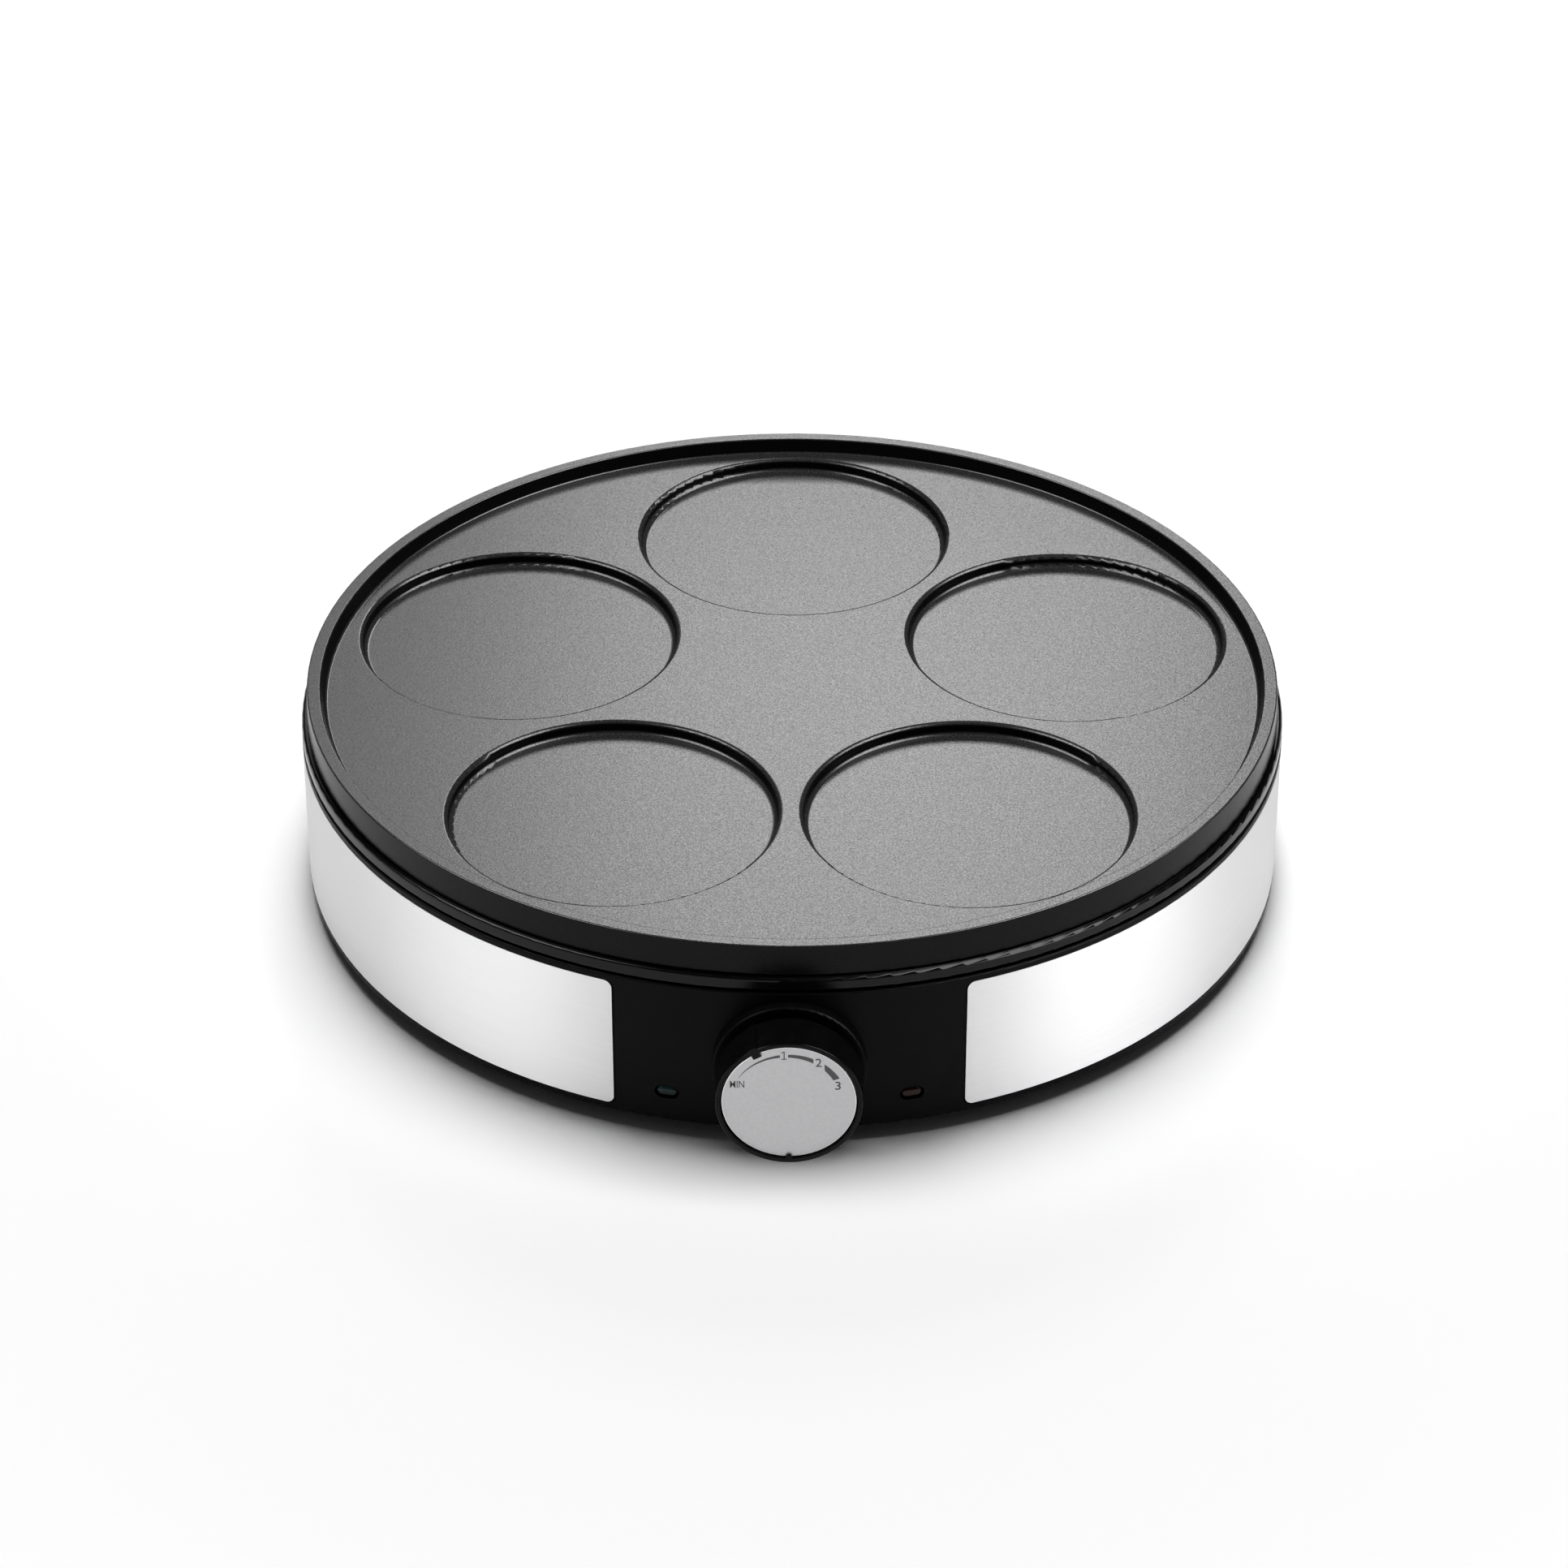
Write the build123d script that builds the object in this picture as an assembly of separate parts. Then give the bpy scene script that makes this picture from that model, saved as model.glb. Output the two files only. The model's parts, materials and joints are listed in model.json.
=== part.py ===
from build123d import *

import os
from math import cos, degrees, radians, sin, sqrt, tan

# Electric griddle for five small round pancakes. Millimetres, +Z up, the front with the
# knob at -Y. The origin is on the body's axis, on the table that the feet stand on.

# Cooking plate
well_count = 5
well_radius = 49.6          # sharp corner of a well's wall with the plate's face
well_depth = 3.9
well_draft = 6.0            # degrees
well_lip_round = 1.4
well_floor_round = 1.6
well_gap = 4.35             # web between two wells' lips
well_to_rim = 3.13          # web between a well's lip and the rim's foot
plate_sheet = 3.0           # thickness of the casting
plate_height = 9.6          # from the skirt's lower edge to the rim's top
rim_depth = 4.45            # from the rim's top down to the plate's face
rim_slope_run = 1.6         # how far the rim's inner wall leans out
rim_width = 4.1
rim_foot_round = 0.8
rim_edge_round = 0.5
skirt_flare = 0.25
spigot_width = 3.0
spigot_depth = 2.2          # below the skirt's lower edge
spigot_clearance = 0.5

# Heights of the body
foot_height = 5.0           # from the table to the shell's lower edge
lower_strip = 2.2           # black strip below the steel
band_height = 44.0
upper_strip = 2.1           # black strip above the steel
ring_groove = 1.0
ring_face = 4.0
plate_gap = 0.4             # shadow gap between the ring and the plate's skirt

# Trim ring
ring_reveal = 1.75          # how far the ring stands out beyond the skirt
ring_wall_to_foot = 0.9     # the ring's bore beyond the rim's foot
ring_tenon_inset = 2.3
ring_edge_round = 1.1
ring_lower_round = 0.4
pad_count = 5
pad_length = 12.0
pad_width = 3.0
ring_screw_count = 6
ring_screw_first = 15.0     # degrees, clear of the bosses and the collar
ring_screw_inset = 4.9      # from the ring's outer face
ring_screw_bite = 3.4

# Body shell
shell_wall = 2.4
shell_reveal = 0.1          # shell beyond the trim ring
shell_edge_round = 0.6
flange_thickness = 3.0
flange_reach = 16.0         # inwards from the wall
boss_radius = 4.5
boss_to_wall = 9.0          # boss axis to the wall's inner face
base_screw_count = 6
thread_clearance = 0.05
hole_clearance = 0.2

# Steel bands
band_sheet = 0.7
band_bed = 0.1              # clearance between a band and the shell
band_edge_gap = 0.15
band_end_gap = 0.8
band_corner = 2.5
front_panel_half_angle = 19.45
rear_panel_half_angle = 10.0
band_tab_count = 3
band_tab_width = 8.0
band_tab_reach = 5.0

# Base plate and feet
base_sheet = 1.2
base_recess = 1.0           # above the shell's lower edge
base_clearance = 0.5
vent_count = 12
vent_length = 24.0
vent_width = 3.0
vent_circle = 58.0
foot_count = 4
foot_circle = 126.0
foot_radius = 10.0
foot_flare = 1.0
foot_neck_radius = 4.4
foot_bulb_radius = 6.0
foot_bulb_height = 3.3
foot_clearance = 0.1

# Screws
base_screw_radius = 1.75
base_screw_length = 12.0
small_screw_radius = 1.5
head_factor = 1.6           # head radius over shank radius
head_height = 1.8
cross_width = 0.7
cross_depth = 0.9
cross_reach = 1.2           # cross length over head radius

# Reflector pan
pan_sheet = 0.8
pan_depth = 10.0            # floor's lower face below the flange's lower face
pan_slope_run = 6.8
pan_wall_clearance = 0.7
pan_edge_clearance = 0.6
pan_screw_inset = 6.1       # from the flange's edge
pan_screw_length = 5.0
pan_boss_radius = 3.6
pan_boss_height = 4.0

# Heating element
element_circle = 92.0
element_tube_radius = 3.25
element_gap = 0.3           # below the wells
element_opening = 32.0      # degrees left open at the rear
element_bend = 5.5
element_leg_below_pan = 10.0
element_pin_radius = 1.3
element_pin_length = 6.0
bush_wall = 2.7
bush_flange = 3.0
bush_flange_height = 1.5
bush_neck_below = 2.0
bush_clearance = 0.1
clip_sheet = 0.8
clip_width = 8.0
clip_foot = 12.0
clip_clearance = 0.1
element_clip_angles = (20.0, 160.0, 230.0, 310.0)

# Thermostat with capillary bulb
knob_axis_height = 28.3
thermostat_size = 25.0
thermostat_depth = 25.0
thermostat_corner = 1.5
shaft_radius = 3.0
shaft_seat = 2.0
shaft_clearance = 0.05
shaft_flat = 2.5            # flat's distance from the axis
bush_radius = 5.0           # threaded bush round the shaft
bush_gap = 0.5              # between the bush and the knob's hub
washer_radius = 8.5
washer_sheet = 0.8
nut_flats = 14.0
nut_height = 2.1
tab_width = 6.3
tab_sheet = 0.8
tab_length = 8.0
tab_offset = 7.0
bulb_radius = 2.5
bulb_length = 50.0
bulb_y = -62.0
bulb_clip_spacing = 30.0
capillary_radius = 0.8
capillary_run = 11.0        # from the bulb's end to the drop through the pan
capillary_port_inset = 3.0
grommet_wall = 1.4
grommet_lip = 1.2

# Collar, knob and dial
collar_reveal = 1.0         # collar beyond the knob's rear edge, all round
collar_proud = 3.6          # beyond the shell's face
collar_front_wall = 3.0
collar_side_wall = 3.2
collar_edge_round = 0.5
knob_gap = 3.5              # from the collar's face to the knob's rear edge
knob_depth = 12.1
knob_rim = 1.35             # width of the ring round the dial, at its front edge
knob_taper = 0.3            # how far the ring widens to its rear edge
knob_edge_round = 0.4
knob_web = 2.5              # wall between the hub and the turning ring
knob_skirt_radius = 19.5
knob_skirt_wall = 2.0
knob_skirt_clearance = 0.5
hub_radius = 5.6
dial_radius = 19.5
dial_sheet = 0.8
dial_edge_round = 0.25
dial_recess = 0.8           # behind the knob's front edge
dial_gap = 0.35             # round the dial, which stays still while the knob turns
dial_span = 67.0            # degrees from twelve o'clock to either end of the scale
carrier_sheet = 1.5
carrier_gap = 0.5
leg_inner_radius = 10.5
leg_thickness = 3.0
leg_angle = 16.0            # degrees
leg_margin = 3.0            # degrees left beyond a leg at each end of its slot
leg_plug = 2.0
leg_clearance = 0.3
pointer_angle = 29.0        # degrees before twelve o'clock
pointer_width = 2.6
pointer_reach = 1.1         # over the dial
pointer_proud = 0.4
pointer_gap = 0.3
nub_radius = 0.95
spring_side_gap = 0.1
spring_sheet = 0.3
spring_gap = 0.03

# Lamps
lamp_angle = 13.6
lamp_height = 14.9
lens_length = 6.4
lens_height = 3.4
lens_recess = 0.1           # the lens's crown behind the shell's face
lens_edge_round = 1.2
lens_flange = 1.5
lens_flange_sheet = 1.4
lens_clearance = 0.5        # round the lens in its window
lens_wall_gap = 0.2
holder_radius = 4.6
holder_wall = 1.3
holder_length = 14.0
neon_radius = 3.0
neon_length = 11.0
neon_tip_round = 2.4

# Cord gland
gland_height = 20.0
gland_bore_radius = 3.75
gland_body_radius = 6.0
gland_flange_radius = 9.0
gland_flange_sheet = 2.5
gland_reach = 13.0          # behind the pad's face
gland_pad_radius = 13.0
gland_pad_proud = 0.8
gland_nut_flats = 17.0
gland_nut_height = 5.0

# Terminal block, fuse and earth point
block_length = 34.0
block_width = 16.0
block_height = 14.0
block_to_gland = 36.2       # block's middle to the gland's inner end
block_pitch = 10.0
port_radius = 1.9
port_depth = 4.0
port_height = 8.0
terminal_screw_radius = 2.2
terminal_screw_depth = 3.0
fuse_radius = 2.25
fuse_length = 12.0
fuse_lead_radius = 0.6
fuse_lead_length = 5.0
fuse_x = 38.0
fuse_y = 30.0
strap_sheet = 0.6
earth_x = 50.0
earth_y = 56.0
earth_ring_radius = 4.2
earth_barrel_radius = 1.9
earth_barrel_length = 8.0
earth_screw_length = 3.2

# Wires
wire_radius = 1.2
wire_bend = 6.0
tight_bend = 4.0
tab_lead = 16.0             # straight run from a thermostat tab
port_lead = 18.0            # straight run from a port of the terminal block
pin_lead = 12.0             # in front of the element's pins, where the wires beside them turn
wire_level = 14.0           # height of the long run above the base plate
wire_side = 42.0            # long run's distance from the middle
lamp_lead = 14.0            # straight run from a lamp's holder
lamp_wire_side = 20.0       # lamp leads' distance from the middle at their bend
lamp_wire_level = 16.0
live_turn_rear = 40.0       # where the live wire's long run starts
live_turn_front = -66.0     # where it turns to the thermostat
switched_turn = -64.0       # where the switched wire turns to the fuse
fuse_run = 24.0             # straight run to the fuse's front end
fuse_rear_run = 14.0        # straight run from the fuse's rear end
fuse_pin_side = 8.0         # bend of the fuse's wire beside the element's pin
fuse_pin_front = 14.0
fuse_pin_drop = 4.0
fuse_wire_drop = 9.0        # below the element's pin
neutral_wire_drop = 10.0
earth_bend_side = 16.0      # bend of the earth wire behind its tag
earth_bend_run = 16.0
earth_run = 12.0            # straight run to the tag

# Radii worked out from the wells outwards
well_step = 360.0 / well_count
lip_radius = well_radius + well_lip_round
well_circle = (lip_radius + well_gap / 2) / sin(radians(well_step / 2))
rim_foot_radius = well_circle + lip_radius + well_to_rim
rim_inner_radius = rim_foot_radius + rim_slope_run
plate_radius = rim_inner_radius + rim_width
skirt_radius = plate_radius + skirt_flare
ring_radius = skirt_radius + ring_reveal
ring_bore = rim_foot_radius + ring_wall_to_foot
spigot_radius = ring_bore - spigot_clearance
shell_radius = ring_radius + shell_reveal
shell_inner = shell_radius - shell_wall
flange_bore = shell_inner - flange_reach
boss_circle = shell_inner - boss_to_wall
ring_screw_circle = ring_radius - ring_screw_inset
base_radius = shell_inner - base_clearance
pan_flange_radius = ring_bore - pan_edge_clearance
pan_wall_radius = flange_bore - pan_wall_clearance
pan_floor_radius = pan_wall_radius - pan_slope_run
pan_screw_circle = pan_flange_radius - pan_screw_inset

# Radii about the knob's axis, worked out from the dial outwards
knob_front_radius = dial_radius + dial_gap + knob_rim
knob_rear_radius = knob_front_radius + knob_taper
collar_radius = knob_rear_radius + collar_reveal

# Heights worked out from the table upwards
shell_bottom = foot_height
band_bottom = shell_bottom + lower_strip
band_top = band_bottom + band_height
shell_top = band_top + upper_strip
flange_bottom = shell_top - flange_thickness
ring_bottom = shell_top + ring_groove
ring_top = ring_bottom + ring_face
skirt_bottom = ring_top + plate_gap
plate_top = skirt_bottom + plate_height
plate_face = plate_top - rim_depth
web_bottom = plate_face - plate_sheet
well_floor = plate_face - well_depth
well_bottom = well_floor - plate_sheet
spigot_bottom = skirt_bottom - spigot_depth
base_bottom = shell_bottom + base_recess
base_top = base_bottom + base_sheet
pan_flange_top = shell_top + pan_sheet
pan_under = shell_top - pan_depth
pan_floor = pan_under + pan_sheet
element_height = well_bottom - element_gap - element_tube_radius
bulb_height = well_bottom - element_gap - bulb_radius

# Distances in front of the body's axis, for what lies along the knob's axis
collar_face = shell_radius + collar_proud
thermostat_face = collar_face - collar_front_wall
thermostat_back = thermostat_face - thermostat_depth
tab_end = thermostat_back - tab_length
knob_rear = collar_face + knob_gap
knob_front = knob_rear + knob_depth
dial_face = knob_front - dial_recess
dial_back = dial_face - dial_sheet
carrier_back = dial_back - carrier_sheet
web_front = carrier_back - carrier_gap
web_back = web_front - knob_web
bush_front = knob_rear - bush_gap
shaft_front = web_front - bush_gap
shaft_rear = thermostat_face - shaft_seat
hub_flat = shaft_flat + spring_sheet + 2 * spring_gap
spring_width = 2 * sqrt((shaft_radius + shaft_clearance) ** 2 - hub_flat ** 2) - 2 * spring_side_gap

# Distances along the lamps' and the gland's own axes
lens_seat = shell_inner - lens_wall_gap
lens_back = lens_seat - lens_flange_sheet
holder_back = lens_back - holder_length
gland_pad_face = shell_radius + gland_pad_proud
gland_pad_back = base_radius + thread_clearance
gland_face = gland_pad_face + gland_flange_sheet
gland_back = gland_pad_face - gland_reach
block_y = gland_back - block_to_gland

LOW = (Align.CENTER, Align.CENTER, Align.MIN)


def turned(points):
    """Solid of revolution about Z through (radius, height) points."""
    return revolve(make_face(Plane.XZ * Polyline(*points, close=True)), Axis.Z)


def round_bar(radius, low, high):
    """Round bar on Z between two heights."""
    return Pos(0, 0, low) * Cylinder(radius, high - low, align=LOW)


def tube(outer, inner, low, high):
    """Round tube on Z between two heights."""
    return round_bar(outer, low, high) - round_bar(inner, low, high)


def hexagon(flats, low, high):
    """Hexagonal bar on Z, given its size across flats."""
    corner_radius = flats / sqrt(3)
    return Pos(0, 0, low) * extrude(RegularPolygon(corner_radius, 6), high - low)


def facing(angle, height):
    """Frame whose Z points out of the body, turned about the body's axis from the front."""
    return Rot(0, 0, angle) * Pos(0, 0, height) * Rot(90, 0, 0)


def round_places(count, circle, first, height):
    """Places spaced evenly on a circle about the body's axis."""
    step = 360.0 / count
    return [Rot(0, 0, first + i * step) * Pos(circle, 0, height) for i in range(count)]


def circles_at(shape, radius, height):
    """Circular edges of one radius, centred on a vertical axis at one height."""
    near = 0.01
    found = []
    for edge in shape.edges().filter_by(GeomType.CIRCLE):
        same_radius = abs(edge.radius - radius) < near
        same_height = abs(edge.arc_center.Z - height) < near
        if same_radius and same_height:
            found.append(edge)
    return found


def group(solids):
    """Separate solids kept together in one node."""
    return Compound(list(solids))


def screw(shank_radius, length):
    """Pan head screw on Z with a cross recess: head above z = 0, shank below."""
    head_radius = shank_radius * head_factor
    head = round_bar(head_radius, 0, head_height)
    head = fillet(circles_at(head, head_radius, head_height), head_height / 2)
    cross = Box(head_radius * cross_reach, cross_width, 2 * cross_depth)
    cross += Box(cross_width, head_radius * cross_reach, 2 * cross_depth)
    shank = round_bar(shank_radius, -length, 0)
    return head + shank - Pos(0, 0, head_height) * cross


def wire(points, radius, bend):
    """Insulated wire along straight runs joined by bends."""
    path = FilletPolyline(*points, radius=bend)
    first_run = Vector(*points[1]) - Vector(*points[0])
    section = Plane(origin=points[0], z_dir=first_run) * Circle(radius)
    return sweep(section, path=path)


def saddle_clip(tube_radius, seat_distance, sheet, width):
    """Strip clip under a tube that lies along Y: foot, riser and half-round saddle."""
    inner = tube_radius + clip_clearance
    outer = inner + sheet
    saddle = Circle(outer) - Circle(inner)
    saddle -= Pos(0, outer) * Rectangle(4 * outer, 2 * outer)
    foot = Pos(0, sheet / 2 - seat_distance) * Rectangle(clip_foot, sheet)
    riser_height = seat_distance - inner - sheet / 2
    riser = Pos(0, sheet / 4 - seat_distance + riser_height / 2) * Rectangle(sheet, riser_height)
    return extrude(Plane.XZ * (saddle + foot + riser), width / 2, both=True)


def well_places():
    return round_places(well_count, well_circle, 90.0, 0)


def web_angle():
    """Angle of the first web between two wells."""
    return 90.0 + well_step / 2


def cooking_plate():
    outline = [
        (0, web_bottom),
        (spigot_radius - spigot_width, web_bottom),
        (spigot_radius - spigot_width, spigot_bottom),
        (spigot_radius, spigot_bottom),
        (spigot_radius, skirt_bottom),
        (skirt_radius, skirt_bottom),
        (plate_radius, plate_top),
        (rim_inner_radius, plate_top),
        (rim_foot_radius, plate_face),
        (0, plate_face),
    ]
    plate = turned(outline)
    plate = fillet(circles_at(plate, rim_foot_radius, plate_face), rim_foot_round)
    rim_edges = circles_at(plate, plate_radius, plate_top)
    rim_edges += circles_at(plate, rim_inner_radius, plate_top)
    plate = fillet(rim_edges, rim_edge_round)
    cup_radius = well_radius + plate_sheet
    floor_radius = well_radius - well_depth * tan(radians(well_draft))
    cup = round_bar(cup_radius, well_bottom, plate_face - well_lip_round)
    plate += [place * cup for place in well_places()]
    hollow = turned([
        (0, well_floor),
        (floor_radius, well_floor),
        (well_radius, plate_face),
        (0, plate_face),
    ])
    plate -= [place * hollow for place in well_places()]
    plate = fillet(circles_at(plate, floor_radius, well_floor), well_floor_round)
    return fillet(circles_at(plate, well_radius, plate_face), well_lip_round)


def ring_screw_places(height):
    return round_places(ring_screw_count, ring_screw_circle, ring_screw_first, height)


def trim_ring():
    tenon_radius = ring_radius - ring_tenon_inset
    outline = [
        (ring_bore, shell_top),
        (tenon_radius, shell_top),
        (tenon_radius, ring_bottom),
        (ring_radius, ring_bottom),
        (ring_radius, ring_top),
        (ring_bore, ring_top),
    ]
    ring = turned(outline)
    ring = fillet(circles_at(ring, ring_radius, ring_top), ring_edge_round)
    ring = fillet(circles_at(ring, ring_radius, ring_bottom), ring_lower_round)
    pad = Box(pad_width, pad_length, plate_gap, align=LOW)
    pad_circle = (ring_bore + skirt_radius) / 2
    ring += [place * pad for place in round_places(pad_count, pad_circle, web_angle(), ring_top)]
    hole_radius = small_screw_radius + thread_clearance
    hole = round_bar(hole_radius, 0, ring_screw_bite + thread_clearance)
    return ring - [place * hole for place in ring_screw_places(shell_top)]


def ring_screws():
    one = Rot(180, 0, 0) * screw(small_screw_radius, flange_thickness + ring_screw_bite)
    return group(place * one for place in ring_screw_places(flange_bottom))


def band_blank(low, high, inner, outer, front_angle, rear_angle, corner):
    """Curved sheet on the right-hand side between two panel angles, with rounded corners."""
    section = Plane.XZ * Pos((inner + outer) / 2, (low + high) / 2) * Rectangle(outer - inner, high - low)
    span = 180.0 - front_angle - rear_angle
    sheet = Rot(0, 0, front_angle - 90.0) * revolve(section, Axis.Z, span)
    corners = []
    for edge in sheet.edges().filter_by(GeomType.LINE):
        if abs(edge.length - (outer - inner)) < 0.001:
            corners.append(edge)
    return fillet(corners, corner)


def band_tab_places():
    """Places of one band's tabs, on the band's inner face at mid height."""
    span = 180.0 - front_panel_half_angle - rear_panel_half_angle
    step = span / band_tab_count
    first = front_panel_half_angle - 90.0 + step / 2
    inner = shell_radius - band_sheet
    middle = (band_bottom + band_top) / 2
    return [Rot(0, 0, first + i * step) * Pos(inner, 0, middle) for i in range(band_tab_count)]


def right_steel_band():
    inner = shell_radius - band_sheet
    end_angle = degrees(band_end_gap / shell_radius)
    band = band_blank(
        band_bottom + band_edge_gap,
        band_top - band_edge_gap,
        inner,
        shell_radius,
        front_panel_half_angle + end_angle,
        rear_panel_half_angle + end_angle,
        band_corner,
    )
    tab = Pos((band_sheet / 2 - band_tab_reach) / 2, 0, 0)
    tab *= Box(band_tab_reach + band_sheet / 2, band_tab_width, band_sheet)
    return band + [place * tab for place in band_tab_places()]


def band_recess():
    bed = shell_radius - band_sheet - band_bed
    beyond = shell_radius + band_sheet
    recess = band_blank(
        band_bottom,
        band_top,
        bed,
        beyond,
        front_panel_half_angle,
        rear_panel_half_angle,
        band_corner + band_edge_gap,
    )
    slot = Box(
        2 * shell_wall + band_tab_reach,
        band_tab_width + 2 * hole_clearance,
        band_sheet + 2 * hole_clearance,
    )
    return recess + [place * slot for place in band_tab_places()]


def left_steel_band():
    return mirror(right_steel_band(), Plane.YZ)


def base_screw_places(height):
    return round_places(base_screw_count, boss_circle, 0.0, height)


def pan_screw_places(height):
    return round_places(well_count, pan_screw_circle, web_angle(), height)


def body_shell():
    outline = [
        (shell_radius, shell_bottom),
        (shell_radius, shell_top),
        (flange_bore, shell_top),
        (flange_bore, flange_bottom),
        (shell_inner, flange_bottom),
        (shell_inner, shell_bottom),
    ]
    shell = turned(outline)
    shell_edges = circles_at(shell, shell_radius, shell_top)
    shell_edges += circles_at(shell, shell_radius, shell_bottom)
    shell = fillet(shell_edges, shell_edge_round)
    recess = band_recess()
    shell = shell - recess - mirror(recess, Plane.YZ)
    flange_middle = flange_bottom + flange_thickness / 2
    boss = round_bar(boss_radius, base_top, flange_middle)
    shell += [place * boss for place in base_screw_places(0)]
    pan_boss = round_bar(pan_boss_radius, flange_bottom - pan_boss_height, flange_middle)
    shell += [place * pan_boss for place in pan_screw_places(0)]
    front = facing(0, knob_axis_height)
    collar_rear = base_radius + thread_clearance
    collar = round_bar(collar_radius, collar_rear, collar_face)
    collar = fillet(circles_at(collar, collar_radius, collar_face), collar_edge_round)
    shell += front * collar
    pocket_radius = collar_radius - collar_side_wall
    shell -= front * round_bar(pocket_radius, collar_rear - shell_wall, thermostat_face)
    shell -= front * round_bar(bush_radius + hole_clearance, thermostat_face, collar_face)
    socket_angle = leg_angle + degrees(2 * hole_clearance / leg_inner_radius)
    sockets = leg_sectors(collar_face - leg_plug, collar_face, hole_clearance, 0.0, socket_angle)
    shell -= [front * socket for socket in sockets]
    rear = facing(180, gland_height)
    shell += rear * round_bar(gland_pad_radius, gland_pad_back, gland_pad_face)
    shell -= rear * round_bar(gland_body_radius + hole_clearance, gland_pad_back, gland_pad_face)
    shell -= [facing(angle, lamp_height) * lens_window() for angle in (-lamp_angle, lamp_angle)]
    base_hole = round_bar(base_screw_radius + thread_clearance, base_top, base_bottom + base_screw_length)
    shell -= [place * base_hole for place in base_screw_places(0)]
    ring_hole = round_bar(small_screw_radius + hole_clearance, flange_bottom, shell_top)
    shell -= [place * ring_hole for place in ring_screw_places(0)]
    pan_hole_end = pan_flange_top - pan_screw_length - thread_clearance
    pan_hole = round_bar(small_screw_radius + thread_clearance, pan_hole_end, shell_top)
    return shell - [place * pan_hole for place in pan_screw_places(0)]


def base_plate():
    base = round_bar(base_radius, base_bottom, base_top)
    vent = extrude(SlotOverall(vent_length, vent_width), base_top)
    vents = round_places(vent_count, vent_circle + vent_length / 2, 0.0, 0)
    base -= [place * vent for place in vents]
    foot_hole = round_bar(foot_neck_radius + foot_clearance, base_bottom, base_top)
    base -= [place * foot_hole for place in foot_places()]
    screw_hole = round_bar(base_screw_radius + hole_clearance, base_bottom, base_top)
    base -= [place * screw_hole for place in base_screw_places(0)]
    small_hole = round_bar(small_screw_radius + thread_clearance, base_bottom, base_top)
    base -= [place * small_hole for place in block_screw_places(0)]
    return base - Pos(earth_x, earth_y, 0) * small_hole


def foot_places():
    return round_places(foot_count, foot_circle, 180.0 / foot_count, 0)


def rubber_feet():
    bulb_seat = base_top + thread_clearance
    foot = turned([
        (0, 0),
        (foot_radius, 0),
        (foot_radius + foot_flare, base_bottom),
        (foot_neck_radius, base_bottom),
        (foot_neck_radius, bulb_seat),
        (foot_bulb_radius, bulb_seat),
        (foot_neck_radius, bulb_seat + foot_bulb_height),
        (0, bulb_seat + foot_bulb_height),
    ])
    return group(place * foot for place in foot_places())


def base_screws():
    one = Rot(180, 0, 0) * screw(base_screw_radius, base_screw_length)
    return group(place * one for place in base_screw_places(base_bottom))


def reflector_pan():
    lean = pan_sheet * pan_slope_run / pan_depth
    outline = [
        (0, pan_under),
        (pan_floor_radius, pan_under),
        (pan_wall_radius, shell_top),
        (pan_flange_radius, shell_top),
        (pan_flange_radius, pan_flange_top),
        (pan_wall_radius - lean, pan_flange_top),
        (pan_floor_radius - lean, pan_floor),
        (0, pan_floor),
    ]
    pan = turned(outline)
    hole = round_bar(small_screw_radius + hole_clearance, shell_top, pan_flange_top)
    pan -= [place * hole for place in pan_screw_places(0)]
    bush_hole_radius = element_tube_radius + bush_wall + 2 * bush_clearance
    bush_hole = round_bar(bush_hole_radius, pan_under, pan_floor)
    pan -= [Pos(x, element_leg_y(), 0) * bush_hole for x in element_leg_xs()]
    grommet_hole_radius = capillary_radius + grommet_wall + 2 * bush_clearance
    return pan - Pos(capillary_drop_x(), bulb_y, 0) * round_bar(grommet_hole_radius, pan_under, pan_floor)


def pan_screws():
    one = screw(small_screw_radius, pan_screw_length)
    return group(place * one for place in pan_screw_places(pan_flange_top))


def element_end():
    """Where the element's ring ends on the right, and its direction there towards the left."""
    angle = radians(90.0 - element_opening / 2)
    end = Vector(element_circle * cos(angle), element_circle * sin(angle), element_height)
    towards_left = Vector(-sin(angle), cos(angle), 0)
    return end, towards_left


def element_leg_xs():
    end, towards_left = element_end()
    leg_x = end.X + towards_left.X * element_bend
    return (leg_x, -leg_x)


def element_leg_y():
    end, towards_left = element_end()
    return end.Y + towards_left.Y * element_bend


def element_leg_end():
    return pan_under - element_leg_below_pan


def heating_element():
    end, towards_left = element_end()
    drop = Vector(0, 0, -element_bend)
    middle = end + towards_left * (element_bend * sin(radians(45)))
    middle += drop * (1 - cos(radians(45)))
    leg_top = end + towards_left * element_bend + drop
    leg_bottom = Vector(leg_top.X, leg_top.Y, element_leg_end())
    right_half = [Line(leg_bottom, leg_top), ThreePointArc(leg_top, middle, end)]
    left_half = [mirror(edge, Plane.YZ) for edge in right_half]
    arc_start = 90.0 + element_opening / 2
    ring = Pos(0, 0, element_height) * CenterArc((0, 0), element_circle, arc_start, 360.0 - element_opening)
    path = Wire([piece.edge() for piece in (*right_half, ring, *left_half)])
    section = Plane(origin=leg_bottom, z_dir=(0, 0, 1)) * Circle(element_tube_radius)
    return sweep(section, path=path)


def element_terminals():
    pin = round_bar(element_pin_radius, element_leg_end() - element_pin_length, element_leg_end())
    return group(Pos(x, element_leg_y(), 0) * pin for x in element_leg_xs())


def element_bushes():
    inner = element_tube_radius + bush_clearance
    neck = element_tube_radius + bush_wall + bush_clearance
    bush = tube(neck, inner, pan_under - bush_neck_below, pan_floor)
    bush += tube(neck + bush_flange, inner, pan_floor, pan_floor + bush_flange_height)
    return group(Pos(x, element_leg_y(), 0) * bush for x in element_leg_xs())


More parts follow.
